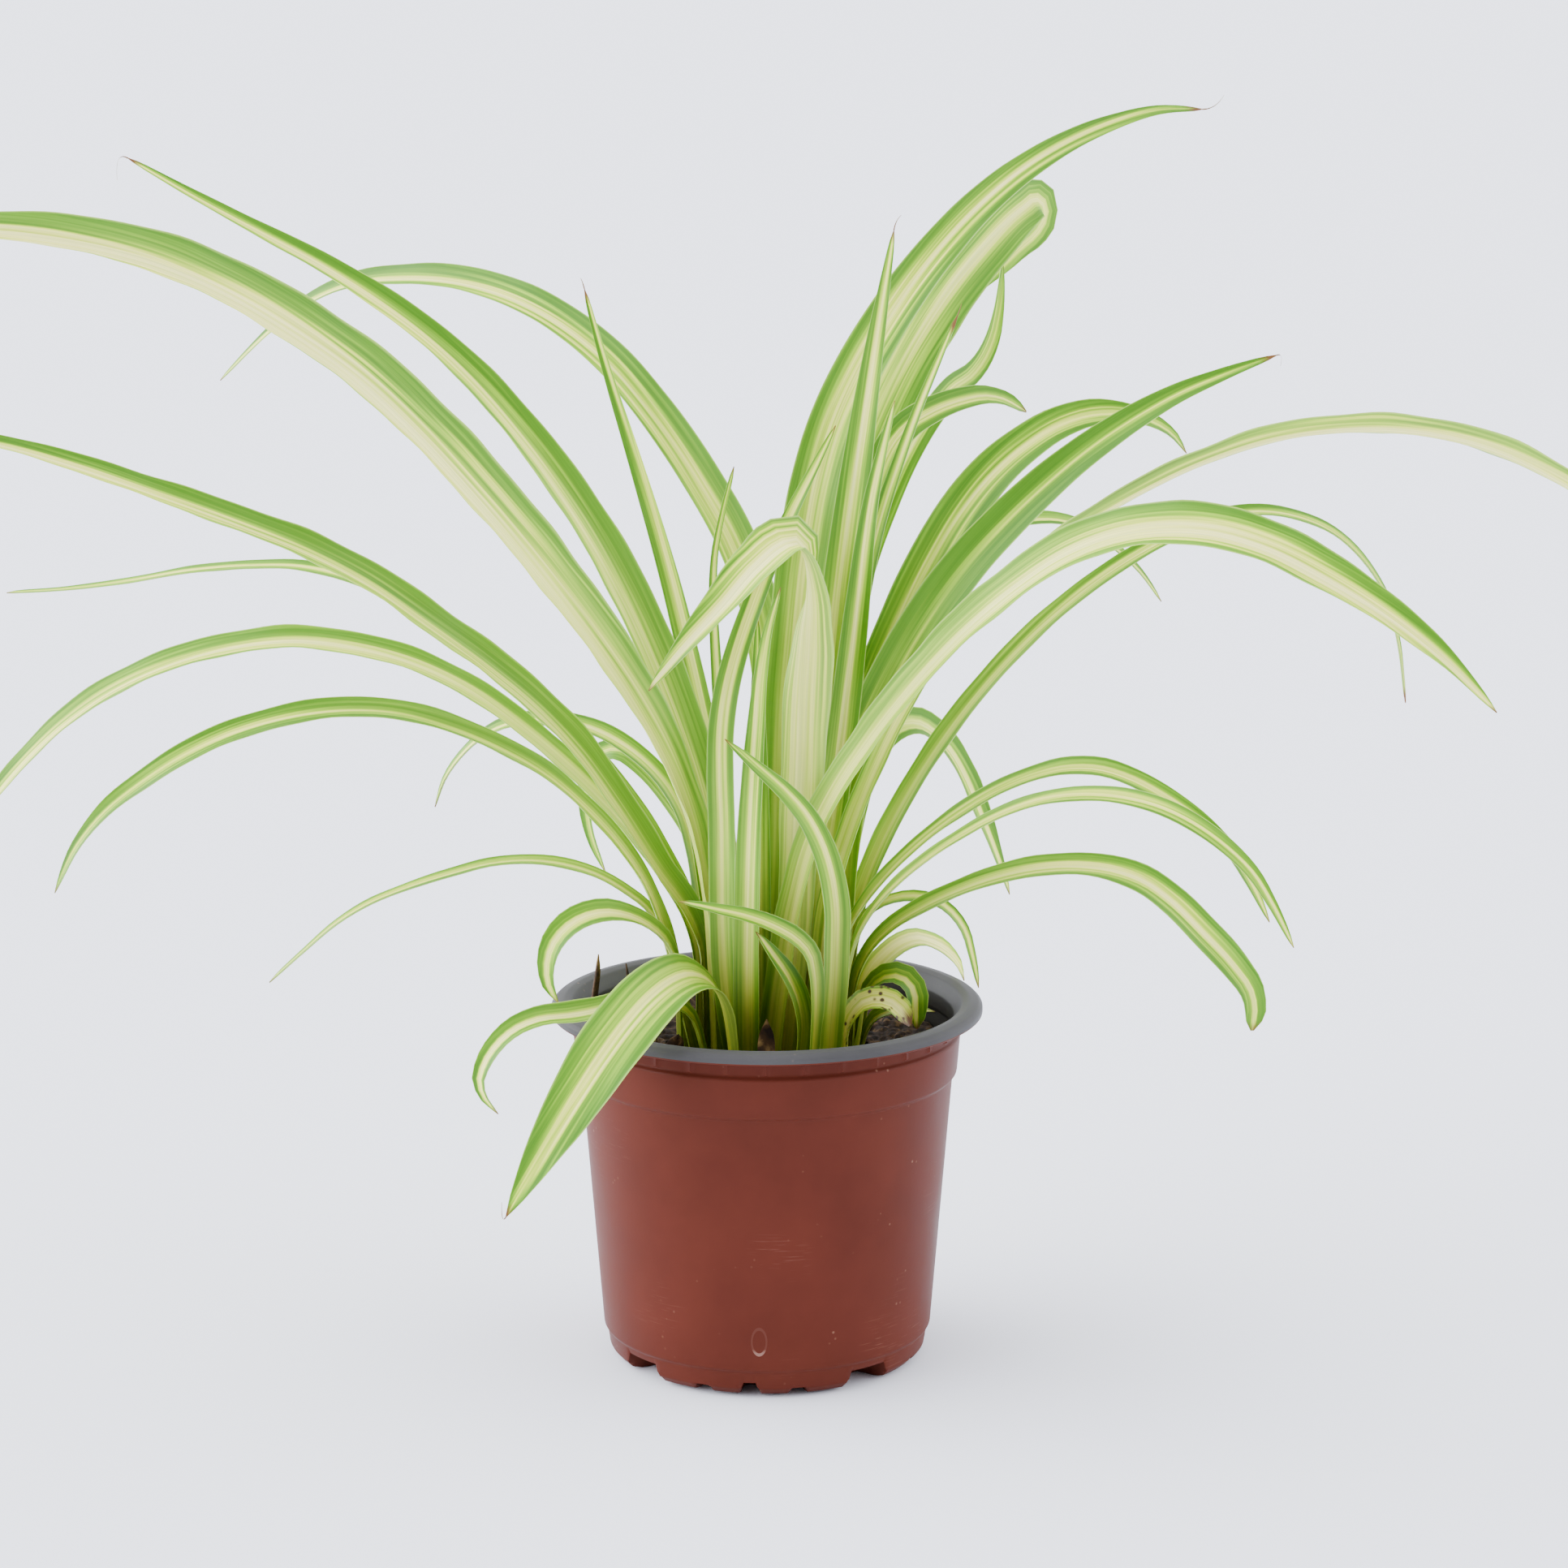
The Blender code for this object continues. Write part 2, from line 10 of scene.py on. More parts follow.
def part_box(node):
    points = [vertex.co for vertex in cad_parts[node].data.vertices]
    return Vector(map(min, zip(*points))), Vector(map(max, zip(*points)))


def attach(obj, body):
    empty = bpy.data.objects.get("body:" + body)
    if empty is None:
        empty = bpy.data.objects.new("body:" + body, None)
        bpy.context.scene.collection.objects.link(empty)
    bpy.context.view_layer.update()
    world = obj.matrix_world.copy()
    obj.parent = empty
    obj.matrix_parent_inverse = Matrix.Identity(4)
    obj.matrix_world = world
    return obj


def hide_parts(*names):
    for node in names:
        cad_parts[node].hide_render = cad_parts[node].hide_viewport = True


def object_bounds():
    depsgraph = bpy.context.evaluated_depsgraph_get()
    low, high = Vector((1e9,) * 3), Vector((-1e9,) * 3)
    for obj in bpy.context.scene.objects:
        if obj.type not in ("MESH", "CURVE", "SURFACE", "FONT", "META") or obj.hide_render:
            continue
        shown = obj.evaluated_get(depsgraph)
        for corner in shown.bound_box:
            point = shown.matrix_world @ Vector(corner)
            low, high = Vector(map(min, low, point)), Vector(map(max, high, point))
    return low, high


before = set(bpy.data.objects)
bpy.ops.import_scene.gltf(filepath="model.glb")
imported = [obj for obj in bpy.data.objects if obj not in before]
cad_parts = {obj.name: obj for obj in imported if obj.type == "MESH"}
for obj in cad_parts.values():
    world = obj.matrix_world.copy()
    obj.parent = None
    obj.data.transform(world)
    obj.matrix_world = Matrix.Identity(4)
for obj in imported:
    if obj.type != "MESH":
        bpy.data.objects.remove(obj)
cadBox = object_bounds()
mm = 0.001


def toLinear(hexCode):
    channels = [int(hexCode[at:at + 2], 16) / 255 for at in (1, 3, 5)]
    return [c / 12.92 if c <= 0.04045 else ((c + 0.055) / 1.055) ** 2.4 for c in channels] + [1]


# inputs holds plain values, hex colours or sockets to link; stops holds a ramp's places and colours in order
def addNode(tree, kind, inputs=None, stops=(), **settings):
    node = tree.nodes.new("ShaderNode" + kind)
    for name, value in settings.items():
        setattr(node, name, value)
    for socket, value in (inputs or {}).items():
        if isinstance(value, bpy.types.NodeSocket):
            tree.links.new(value, node.inputs[socket])
        else:
            node.inputs[socket].default_value = toLinear(value) if isinstance(value, str) else value
    if stops:
        elements = node.color_ramp.elements
        while len(elements) < len(stops):
            elements.new(1.0)
        for element, (place, colour) in zip(elements, stops):
            element.position, element.color = place, toLinear(colour)
    return node


def newMaterial(name, finish):
    made = bpy.data.materials.new(name)
    made.use_nodes = True
    shader = made.node_tree.nodes["Principled BSDF"]
    shader.inputs["Roughness"].default_value = finish["roughness"]
    shader.inputs["IOR"].default_value = finish["ior"]
    shader.inputs["Specular IOR Level"].default_value = finish["specular"]
    return made, made.node_tree, shader


# points are in metres; every finished piece belongs to the plant's one body
def meshPiece(name, points, faces, materials, replaced, sharpAngle, attributes=None):
    mesh = bpy.data.meshes.new(name)
    mesh.from_pydata([tuple(p) for p in points], [], faces)
    mesh.update()
    mesh.shade_smooth()
    mesh.set_sharp_from_angle(angle=math.radians(sharpAngle))
    for key, values in (attributes or {}).items():
        values = np.asarray(values, np.float32)
        kind, field = ("FLOAT_VECTOR", "vector") if values.ndim == 2 else ("FLOAT", "value")
        mesh.attributes.new(key, kind, "POINT").data.foreach_set(field, values.ravel())
    for material in materials:
        mesh.materials.append(material)
    piece = bpy.data.objects.new(name, mesh)
    bpy.context.scene.collection.objects.link(piece)
    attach(piece, "root")
    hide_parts(replaced)
    return piece


# quads between rings of points that follow one another; leftHanded faces them the other way
def ringFaces(rows, columns, first=0, leftHanded=False):
    faces = []
    for row in range(rows):
        for k in range(columns):
            a = first + row * columns + k
            b = first + row * columns + (k + 1) % columns
            faces.append((a, a + columns, b + columns, b) if leftHanded else (a, b, b + columns, a + columns))
    return faces


# a ring tube with both ends closed
def tubeFaces(rows, columns, first=0):
    last = first + rows * columns
    return ringFaces(rows, columns, first) + [tuple(range(first, first + columns))[::-1],
                                              tuple(range(last, last + columns))]


# smooth curve through values given at uneven knots
def curveThrough(values, knots, at):
    steps = np.diff(knots)
    spread = (-1,) + (1,) * (values.ndim - 1)
    slopes = np.diff(values, axis=0) / steps.reshape(spread)
    share = (steps[:-1] / (steps[:-1] + steps[1:])).reshape(spread)
    tangents = np.concatenate([slopes[:1], slopes[:-1] * (1 - share) + slopes[1:] * share, slopes[-1:]])
    k = np.clip(np.searchsorted(knots, at, side="right") - 1, 0, len(knots) - 2)
    width = steps[k].reshape(spread)
    t = (at - knots[k]).reshape(spread) / width
    return ((2 * t ** 3 - 3 * t ** 2 + 1) * values[k] + (t ** 3 - 2 * t ** 2 + t) * width * tangents[k]
            + (3 * t ** 2 - 2 * t ** 3) * values[k + 1] + (t ** 3 - t ** 2) * width * tangents[k + 1])


def smoothstep(x):
    x = np.clip(x, 0, 1)
    return x * x * (3 - 2 * x)


# Living leaf: a waxy skin over pale tissue gives soft gloss, and a little light passes through; lengths in mm
leafTissue = {
    "roughness": 0.45, "ior": 1.42, "specular": 0.3,
    "lightInside": 0.25, "lightReach": (0.8, 1.0, 0.25),
    "streakWidth": 1.0, "streakLength": 71.4,
    "streakiness": 1.35,                     # how far the streaks shift the border of the pale stripe
    "veinSpacing": 0.385, "veinLength": 55.6, "veinRelief": 0.12, "veinStrength": 0.35, "veinShare": 0.38,
    "ownRange": 10.0, "streakApart": 9, "veinApart": 5,     # these give every leaf a pattern of its own
    "grown": [(0.0, "#4b7f0c"), (0.26, "#689b14"), (0.44, "#98c222"), (0.56, "#cede42"), (0.7, "#efee74"),
              (1.0, "#fdf6a0")],             # from the green edge to the pale stripe
    "young": [(0.0, "#6f9f20"), (0.2, "#8cb42e"), (0.38, "#acc840"), (0.6, "#c8d656"), (1.0, "#dbdf66")],
    "veins": [(0.35, "#9cba5c"), (0.65, "#ffffff")],
    "underside": "#e6ea86", "border": "#c3dc70", "scar": "#4a3416", "withered": "#6b4522", "shade": "#938d40",
    "borderStart": 0.92, "borderFull": 0.99, "borderShare": 0.45,      # places as shares of the half width
    "scarSpacing": 2.38, "scarEdge": 0.34, "scarFull": 0.2,            # edges as shares of the spacing
    "witherRagged": 5.0, "witherFade": 1.5,
}


def leafMaterial():
    made, tree, shader = newMaterial("livingLeaf", leafTissue)
    shader.inputs["Subsurface Weight"].default_value = leafTissue["lightInside"]
    shader.inputs["Subsurface Radius"].default_value = leafTissue["lightReach"]
    shader.inputs["Subsurface Scale"].default_value = mm
    read = {key: addNode(tree, "Attribute", attribute_name=key).outputs["Fac"]
            for key in ("core", "rim", "blanch", "underPale", "wither", "bruise", "depth")}
    # across and along the blade in mm, and a number of the leaf's own
    place = addNode(tree, "Attribute", attribute_name="bladePlace").outputs["Vector"]
    streakPlace = addNode(tree, "Mapping", {"Vector": place, "Scale": (
        1 / leafTissue["streakWidth"], 1 / leafTissue["streakLength"],
        leafTissue["streakApart"])}).outputs["Vector"]
    streak = addNode(tree, "TexNoise", {"Vector": streakPlace, "Scale": 1, "Detail": 1.5}).outputs["Fac"]
    veinPlace = addNode(tree, "Mapping", {"Vector": place, "Scale": (
        1 / leafTissue["veinSpacing"], 1 / leafTissue["veinLength"],
        leafTissue["veinApart"])}).outputs["Vector"]
    vein = addNode(tree, "TexNoise", {"Vector": veinPlace, "Scale": 1, "Detail": 2}).outputs["Fac"]
    level = addNode(tree, "Math", {0: streak, 1: leafTissue["streakiness"], 2: read["core"]},
                    operation="MULTIPLY_ADD", use_clamp=True).outputs[0]
    grown = addNode(tree, "ValToRGB", {"Fac": level}, stops=leafTissue["grown"]).outputs["Color"]
    # leaf bases are blanched where they grew in each other's shade
    young = addNode(tree, "ValToRGB", {"Fac": level}, stops=leafTissue["young"]).outputs["Color"]
    bands = addNode(tree, "MixRGB", {"Fac": read["blanch"], "Color1": grown,
                                     "Color2": young}).outputs["Color"]
    veinTint = addNode(tree, "ValToRGB", {"Fac": vein}, stops=leafTissue["veins"]).outputs["Color"]
    veined = addNode(tree, "MixRGB", {"Fac": leafTissue["veinShare"], "Color1": bands, "Color2": veinTint},
                     blend_type="MULTIPLY").outputs["Color"]
    under = addNode(tree, "MixRGB", {"Fac": read["underPale"], "Color1": veined,
                                     "Color2": leafTissue["underside"]}).outputs["Color"]
    # a thin pale line borders the blade
    border = addNode(tree, "MapRange", {"Value": read["rim"], "From Min": leafTissue["borderStart"],
                                        "From Max": leafTissue["borderFull"],
                                        "To Max": leafTissue["borderShare"]}).outputs[0]
    bordered = addNode(tree, "MixRGB", {"Fac": border, "Color1": under,
                                        "Color2": leafTissue["border"]}).outputs["Color"]
    # scars and specks a little over 1 mm across on a bruised leaf
    spot = addNode(tree, "TexVoronoi", {"Vector": addNode(tree, "TexCoord").outputs["Object"],
                                        "Scale": 1 / (leafTissue["scarSpacing"] * mm)}).outputs["Distance"]
    scar = addNode(tree, "MapRange", {"Value": spot, "From Min": leafTissue["scarEdge"],
                                      "From Max": leafTissue["scarFull"],
                                      "To Max": read["bruise"]}).outputs[0]
    scarred = addNode(tree, "MixRGB", {"Fac": scar, "Color1": bordered,
                                       "Color2": leafTissue["scar"]}).outputs["Color"]
    # the withered end has a ragged border, drawn out along the veins
    reach = addNode(tree, "Math", {0: vein, 1: leafTissue["witherRagged"], 2: read["wither"]},
                    operation="MULTIPLY_ADD").outputs[0]
    withered = addNode(tree, "MapRange", {"Value": reach, "From Min": -leafTissue["witherFade"],
                                          "From Max": leafTissue["witherFade"]}).outputs[0]
    tipped = addNode(tree, "MixRGB", {"Fac": withered, "Color1": scarred,
                                      "Color2": leafTissue["withered"]}).outputs["Color"]
    # painted shade: little light reaches down between the leaves
    shaded = addNode(tree, "MixRGB", {"Fac": read["depth"], "Color1": tipped, "Color2": leafTissue["shade"]},
                     blend_type="MULTIPLY").outputs["Color"]
    tree.links.new(shaded, shader.inputs["Base Color"])
    bump = addNode(tree, "Bump", {"Strength": leafTissue["veinStrength"],
                                  "Distance": leafTissue["veinRelief"] * mm, "Height": vein}).outputs[0]
    tree.links.new(bump, shader.inputs["Normal"])
    return made


# matt finishes that are mottled all through: size of the mottle and depth of the relief in mm
mottledFinishes = {
    # withered leaf, shrunk as it dried: papery, brown in patches
    "driedLeaf": {"roughness": 0.85, "ior": 1.45, "specular": 0.3, "mottle": 3.85, "detail": 5,
                  "strength": 0.6, "relief": 0.3,
                  "stops": [(0.34, "#20150d"), (0.52, "#453019"), (0.74, "#9c7d4a")]},
    # damp peat compost, sieved: near black crumbs with brown fibres
    "pottingSoil": {"roughness": 0.95, "ior": 1.45, "specular": 0.25, "mottle": 2.38, "detail": 6,
                    "strength": 0.7, "relief": 0.5,
                    "stops": [(0.36, "#17100b"), (0.54, "#30231a"), (0.74, "#6a5236")]},
    # rhizome, grown from old leaf bases: fibrous, cream to brown
    "rhizome": {"roughness": 0.7, "ior": 1.45, "specular": 0.3, "mottle": 3.33, "detail": 4,
                "strength": 0.5, "relief": 0.4,
                "stops": [(0.36, "#3a2a14"), (0.52, "#5e5428"), (0.7, "#9c9450")]},
}


def mottledMaterial(name):
    finish = mottledFinishes[name]
    made, tree, shader = newMaterial(name, finish)
    place = addNode(tree, "TexCoord").outputs["Object"]
    mottle = addNode(tree, "TexNoise", {"Vector": place, "Scale": 1 / (finish["mottle"] * mm),
                                        "Detail": finish["detail"]}).outputs["Fac"]
    colour = addNode(tree, "ValToRGB", {"Fac": mottle}, stops=finish["stops"]).outputs["Color"]
    tree.links.new(colour, shader.inputs["Base Color"])
    bump = addNode(tree, "Bump", {"Strength": finish["strength"], "Distance": finish["relief"] * mm,
                                  "Height": mottle}).outputs[0]
    tree.links.new(bump, shader.inputs["Normal"])
    return made


# Polypropylene sheet, thermoformed: the stretched skin is satin, faintly mottled, and shows dust and rubbing;
# lengths in mm, and a pair is where a noise starts to show and where it shows in full
potSkin = {
    "roughness": 0.46, "ior": 1.49, "specular": 0.07, "satinSpread": (-0.05, 0.06),
    "terracotta": ("#4b1f15", "#55251a"), "grey": ("#3c3b3b", "#464545"),     # dark and light of the mottle
    "mottle": 29.4, "mottleEdges": (0.3, 0.7),
    # dust specks some 0.6 mm across, coarser than real dust, which would not show
    "dust": "#c49a80", "speckSpacing": 3.03, "speckEdges": (0.16, 0.05),
    "dustPatch": 11.1, "dustPatchEdges": (0.6, 0.7), "dustShare": 0.2,
    # level scratches in rubbed patches
    "rubbing": "#b98a78", "scratchLength": 8.33, "scratchWidth": 0.3846, "scratchTilt": 0.12,
    "rubbedPatch": 26.3, "rubbingEdges": (0.6, 0.72), "rubbingShare": 0.1,
    "grain": 0.667, "grainRelief": 0.1, "grainStrength": 0.12,
}


def potMaterial(name, colours, addFinalLayer):
    made, tree, shader = newMaterial(name, potSkin)
    place = addNode(tree, "TexCoord").outputs["Object"]
    mottleFrom, mottleTo = potSkin["mottleEdges"]
    mottle = addNode(tree, "TexNoise", {"Vector": place, "Scale": 1 / (potSkin["mottle"] * mm),
                                        "Detail": 4}).outputs["Fac"]
    colour = addNode(tree, "ValToRGB", {"Fac": mottle}, stops=[
        (mottleFrom, potSkin[colours][0]), (mottleTo, potSkin[colours][1])]).outputs["Color"]
    # dust
    speck = addNode(tree, "TexVoronoi", {"Vector": place,
                                         "Scale": 1 / (potSkin["speckSpacing"] * mm)}).outputs["Distance"]
    dustPatch = addNode(tree, "TexNoise", {"Vector": place,
                                           "Scale": 1 / (potSkin["dustPatch"] * mm)}).outputs["Fac"]
    patchFrom, patchTo = potSkin["dustPatchEdges"]
    speckFrom, speckTo = potSkin["speckEdges"]
    dustHere = addNode(tree, "MapRange", {"Value": dustPatch, "From Min": patchFrom, "From Max": patchTo,
                                          "To Max": potSkin["dustShare"]}).outputs[0]
    dust = addNode(tree, "MapRange", {"Value": speck, "From Min": speckFrom, "From Max": speckTo,
                                      "To Max": dustHere}).outputs[0]
    colour = addNode(tree, "MixRGB", {"Fac": dust, "Color1": colour,
                                      "Color2": potSkin["dust"]}).outputs["Color"]
    # rubbing
    along, across = 1 / (potSkin["scratchLength"] * mm), 1 / (potSkin["scratchWidth"] * mm)
    scratchPlace = addNode(tree, "Mapping", {"Vector": place, "Scale": (along, along, across),
                                             "Rotation": (potSkin["scratchTilt"], 0, 0)}).outputs["Vector"]
    scratch = addNode(tree, "TexNoise", {"Vector": scratchPlace, "Scale": 1, "Detail": 2}).outputs["Fac"]
    rubbedPatch = addNode(tree, "TexNoise", {"Vector": place, "Scale": 1 / (potSkin["rubbedPatch"] * mm),
                                             "Detail": 1}).outputs["Fac"]
    rubbingFrom, rubbingTo = potSkin["rubbingEdges"]
    rubbedHere = addNode(tree, "MapRange", {
        "Value": rubbedPatch, "From Min": rubbingFrom, "From Max": rubbingTo,
        "To Max": potSkin["rubbingShare"]}).outputs[0]
    rubbed = addNode(tree, "MapRange", {"Value": scratch, "From Min": rubbingFrom, "From Max": rubbingTo,
                                        "To Max": rubbedHere}).outputs[0]
    colour = addNode(tree, "MixRGB", {"Fac": rubbed, "Color1": colour,
                                      "Color2": potSkin["rubbing"]}).outputs["Color"]
    # last layer: the mould oval outside, painted shade on the inner wall
    tree.links.new(addFinalLayer(tree, place, colour), shader.inputs["Base Color"])
    smoother, rougher = [potSkin["roughness"] + change for change in potSkin["satinSpread"]]
    satin = addNode(tree, "MapRange", {"Value": mottle, "From Min": mottleFrom, "From Max": mottleTo,
                                       "To Min": smoother, "To Max": rougher}).outputs[0]
    tree.links.new(satin, shader.inputs["Roughness"])
    grain = addNode(tree, "TexNoise", {"Vector": place, "Scale": 1 / (potSkin["grain"] * mm),
                                       "Detail": 2}).outputs["Fac"]
    bump = addNode(tree, "Bump", {"Strength": potSkin["grainStrength"],
                                  "Distance": potSkin["grainRelief"] * mm, "Height": grain}).outputs[0]
    tree.links.new(bump, shader.inputs["Normal"])
    return made


# shallow oval left by the mould, low on the front, drawn as a pale line that is palest at its foot; lengths
# in mm
mouldMark = {
    "x": -2.0, "z": 16.92, "halfWidth": 2.0, "halfHeight": 3.76,
    "line": 0.12,                             # half width of the line, as a share of the oval's half size
    "lineShare": 0.2, "upperShare": 0.12,
    "wornTop": 14.8, "wornFoot": 13.6, "worn": "#e0b8a6",
}


def mouldOval(tree, place, colour):
    halfWidth, halfHeight = mouldMark["halfWidth"], mouldMark["halfHeight"]
    onOval = addNode(tree, "Mapping", {
        "Vector": place, "Location": (-mouldMark["x"] / halfWidth, 0, -mouldMark["z"] / halfHeight),
        "Scale": (1 / (halfWidth * mm), 0, 1 / (halfHeight * mm))}).outputs["Vector"]
    fromMiddle = addNode(tree, "VectorMath", {0: onOval}, operation="LENGTH").outputs["Value"]
    line = addNode(tree, "Math", {0: fromMiddle, 1: 1.0, 2: mouldMark["line"]},
                   operation="COMPARE").outputs[0]
    oval = addNode(tree, "MapRange", {"Value": line, "To Max": mouldMark["lineShare"]}).outputs[0]
    along = addNode(tree, "SeparateXYZ", {"Vector": place})
    front = addNode(tree, "Math", {0: along.outputs["Y"], 1: 0.0}, operation="LESS_THAN").outputs[0]
    # the oval's line is paler towards its foot
    foot = addNode(tree, "MapRange", {"Value": along.outputs["Z"], "From Min": mouldMark["wornTop"] * mm,
                                      "From Max": mouldMark["wornFoot"] * mm,
                                      "To Min": mouldMark["upperShare"], "To Max": 1}).outputs[0]
    here = addNode(tree, "Math", {0: front, 1: foot}, operation="MULTIPLY").outputs[0]
    worn = addNode(tree, "Math", {0: oval, 1: here}, operation="MULTIPLY").outputs[0]
    return addNode(tree, "MixRGB", {"Fac": worn, "Color1": colour,
                                    "Color2": mouldMark["worn"]}).outputs["Color"]


# painted shade darkens the inner wall, from just below the lip to its full strength lower down; heights in mm
paintedInnerShade = {"top": 98.5, "full": 94.0, "share": 0.85, "colour": "#211f1a"}


def paintInnerShade(tree, place, colour):
    # the inner wall is darkened by painted shade
    height = addNode(tree, "SeparateXYZ", {"Vector": place}).outputs["Z"]
    innerShade = addNode(tree, "MapRange", {"Value": height, "From Min": paintedInnerShade["top"] * mm,
                                       "From Max": paintedInnerShade["full"] * mm,
                                       "To Max": paintedInnerShade["share"]}).outputs[0]
    return addNode(tree, "MixRGB", {"Fac": innerShade, "Color1": colour,
                                    "Color2": paintedInnerShade["colour"]}).outputs["Color"]


# a CAD leaf is a row of rings; its corners are matched to 1 micrometre, and its levels to 10
cadLeaf = {"ringPoints": 6, "cornerDigits": 6, "levelDigits": 5}


# points of a leaf, and for each one those that share a face with it
def leafNet(node):
    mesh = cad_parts[node].data
    corners = np.round(np.array([v.co for v in mesh.vertices]), cadLeaf["cornerDigits"])
    points, index = np.unique(corners, axis=0, return_inverse=True)
    index = index.ravel()
    near = [set() for p in points]
    for polygon in mesh.polygons:
        used = [index[v] for v in polygon.vertices]
        for a in used:
            near[a].update(used)
    return points, near


# goes from ring to ring for as long as each has all its points
def ringsFrom(ring, near, taken):
    rings, seen = [], set()
    while len(ring) == cadLeaf["ringPoints"] and not ring & taken:
        rings.append(sorted(ring))
        seen |= ring
        ring = set().union(*[near[a] for a in ring]) - seen
    return rings


def findRings(points, near):
    heights = np.round(points[:, 2], cadLeaf["levelDigits"])
    levels, counts = np.unique(heights, return_counts=True)
    base = set(np.nonzero(heights == levels[counts >= cadLeaf["ringPoints"]][0])[0])
    rings = ringsFrom(base, near, set())
    taken = set(sum(rings, []))
    if len(taken) < len(points):
        # a straight stretch lost some points: come back from the tip, and skip what lies between
        layer, seen = base, set(base)
        while layer:
            last, layer = layer, set().union(*[near[a] for a in layer]) - seen
            seen |= layer
        end = points[list(last)].mean(0)
        tip = np.argsort(np.linalg.norm(points - end, axis=1))[:cadLeaf["ringPoints"]]
        rings += ringsFrom(set(tip), near, taken)[::-1]
    return [points[ring] for ring in rings]


ringOrders = np.array(list(permutations(range(cadLeaf["ringPoints"]))))


# puts a ring in order: left, middle and right of the upper face, then right, middle and left below
def orderRing(ring, ahead):
    # the shortest pairs lie across the blade's thickness
    inPairs = ringOrders.reshape(-1, 3, 2)
    sortedPairs = (inPairs[:, :, 0] < inPairs[:, :, 1]).all(1) & (np.diff(inPairs[:, :, 0]) > 0).all(1)
    choices = inPairs[sortedPairs]
    gaps = np.linalg.norm(ring[choices[:, :, 0]] - ring[choices[:, :, 1]], axis=2).sum(1)
    pairs = choices[int(np.argmin(gaps))]
    places = ring[pairs].mean(1)
    away = [np.linalg.norm(place - (places.sum(0) - place) / 2) for place in places]
    middle = int(np.argmin(away))
    edges = [k for k in range(3) if k != middle]
    upward = places[edges].mean(0) - places[middle]
    rightward = np.cross(ahead, upward)
    edges.sort(key=lambda k: places[k] @ rightward)
    inOrder = [sorted(pairs[k], key=lambda v: ring[v] @ upward) for k in (edges[0], middle, edges[1])]
    return ring[[pair[1] for pair in inOrder] + [pair[0] for pair in inOrder[::-1]]]


def readRings(node):
    rings = findRings(*leafNet(node))
    centres = np.array([ring.mean(0) for ring in rings])
    ahead = np.gradient(centres, axis=0)
    reaches = [np.linalg.norm(ring - ring.mean(0), axis=1).max() for ring in rings]
    widest = int(np.argmax(reaches))
    ordered = {widest: orderRing(rings[widest], ahead[widest])}
    # the others follow the order of their neighbour, turned as the blade turns
    rows = np.arange(cadLeaf["ringPoints"])
    for step in (1, -1):
        at = widest + step
        while 0 <= at < len(rings):
            last = ordered[at - step]
            turn = Vector(ahead[at - step]).rotation_difference(Vector(ahead[at]))
            guess = np.array([turn @ Vector(p) for p in last - last.mean(0)])
            cost = ((guess[:, None] - (rings[at] - centres[at])[None]) ** 2).sum(2)
            ordered[at] = rings[at][ringOrders[int(np.argmin(cost[rows, ringOrders].sum(1)))]]
            at += step
    return np.array([ordered[at] for at in range(len(rings))])


# each leaf is rebuilt finely on the six lines that run along its CAD blade; lengths in mm
leafShape = {
    "stationStep": 2.8,           # along the blade
    "fewestStations": 14,
    "columns": 15,                # across each face
    "thickness": 0.62,            # at the midrib
    "edgeThickness": 0.2,
    "channel": 1.5,               # 1 is a sharp fold, 2 a round channel
    "tipLength": 5.0,             # over which the tip closes
    "tipWidth": 0.2,              # of the tip's end, as a share
    "tipThickness": 0.45,         # what is left of it where the blade closes, as a share
    "sunkBase": 3.0,              # goes on down into the crown
    "rippleLength": 34.0,
    "rippleStart": 40.0,          # over which the ripple comes up from the base
    "rippleWidth": 5.0,           # half width of a blade that ripples as given
    "rippleMost": 1.2,
    "rippleEdge": 2.5,            # a higher power keeps the ripple nearer the edges
    "rippleWaves": [(1.0, 2.3), (1.1, 1.9)],      # waves of the left and the right edge per ripple length
    "fineRipple": 0.5,            # height of the finer wave, as a share
    "stripeSoftness": 1.2,        # of the stripe's borders, as a share of the half width
    "blanchEnd": 230.0,           # the pale lower part of a long leaf
    "blanchShare": 0.75,          # and at most this share of a short one
    "blanchFade": 0.85,
    "soilLevel": 87.0,
    "shadeHeight": 62.0,          # above the soil, where the deep shade ends
    "shadeRadius": 62.0,
    "shadeFade": 30.0,
    "shadeShare": 0.95,
    "sharpAngle": 60,
}

